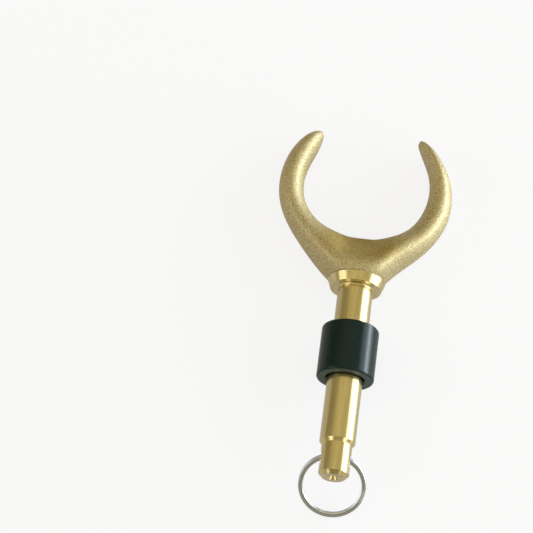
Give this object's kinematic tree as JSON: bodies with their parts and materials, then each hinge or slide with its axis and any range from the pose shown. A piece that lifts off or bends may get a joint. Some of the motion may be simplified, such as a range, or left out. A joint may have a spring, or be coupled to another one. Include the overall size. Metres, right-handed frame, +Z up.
{
  "type": "rowlock",
  "caption": "Cast brass rowlock: open horn for an oar on a turned shank, with a loose sleeve and a split ring through the drilled end.",
  "frame": {"origin": "under the middle of the whole part, on the surface that it lies on", "axes": "+Y runs level along the rowlock from the drilled end towards the horn, +X runs across the horn, and +Z is up, away from the surface"},
  "size_m": [0.064, 0.1462, 0.0232],
  "materials": {
    "brass": "tumbled satin casting with a turned shank",
    "sleeve_plastic": "satin, very dark green",
    "plated_wire": "bright nickel plate"
  },
  "bodies": {
    "casting": {"horn_and_shank": "brass"},
    "sleeve": {"sleeve": "sleeve_plastic"},
    "ring": {"split_ring": "plated_wire"}
  },
  "joints": [
    {"name": "sleeve_slide", "type": "slide", "parent": "casting", "child": "sleeve", "axis": [0, 0.9977, -0.0675], "range_m": [-0.0259, 0.0157]},
    {"name": "ring_swing", "type": "hinge", "parent": "casting", "child": "ring", "pos_m": [0.0006, -0.05534, 0.01498], "axis": [1, 0, 0], "range_deg": [-163.4, 76.6]}
  ]
}
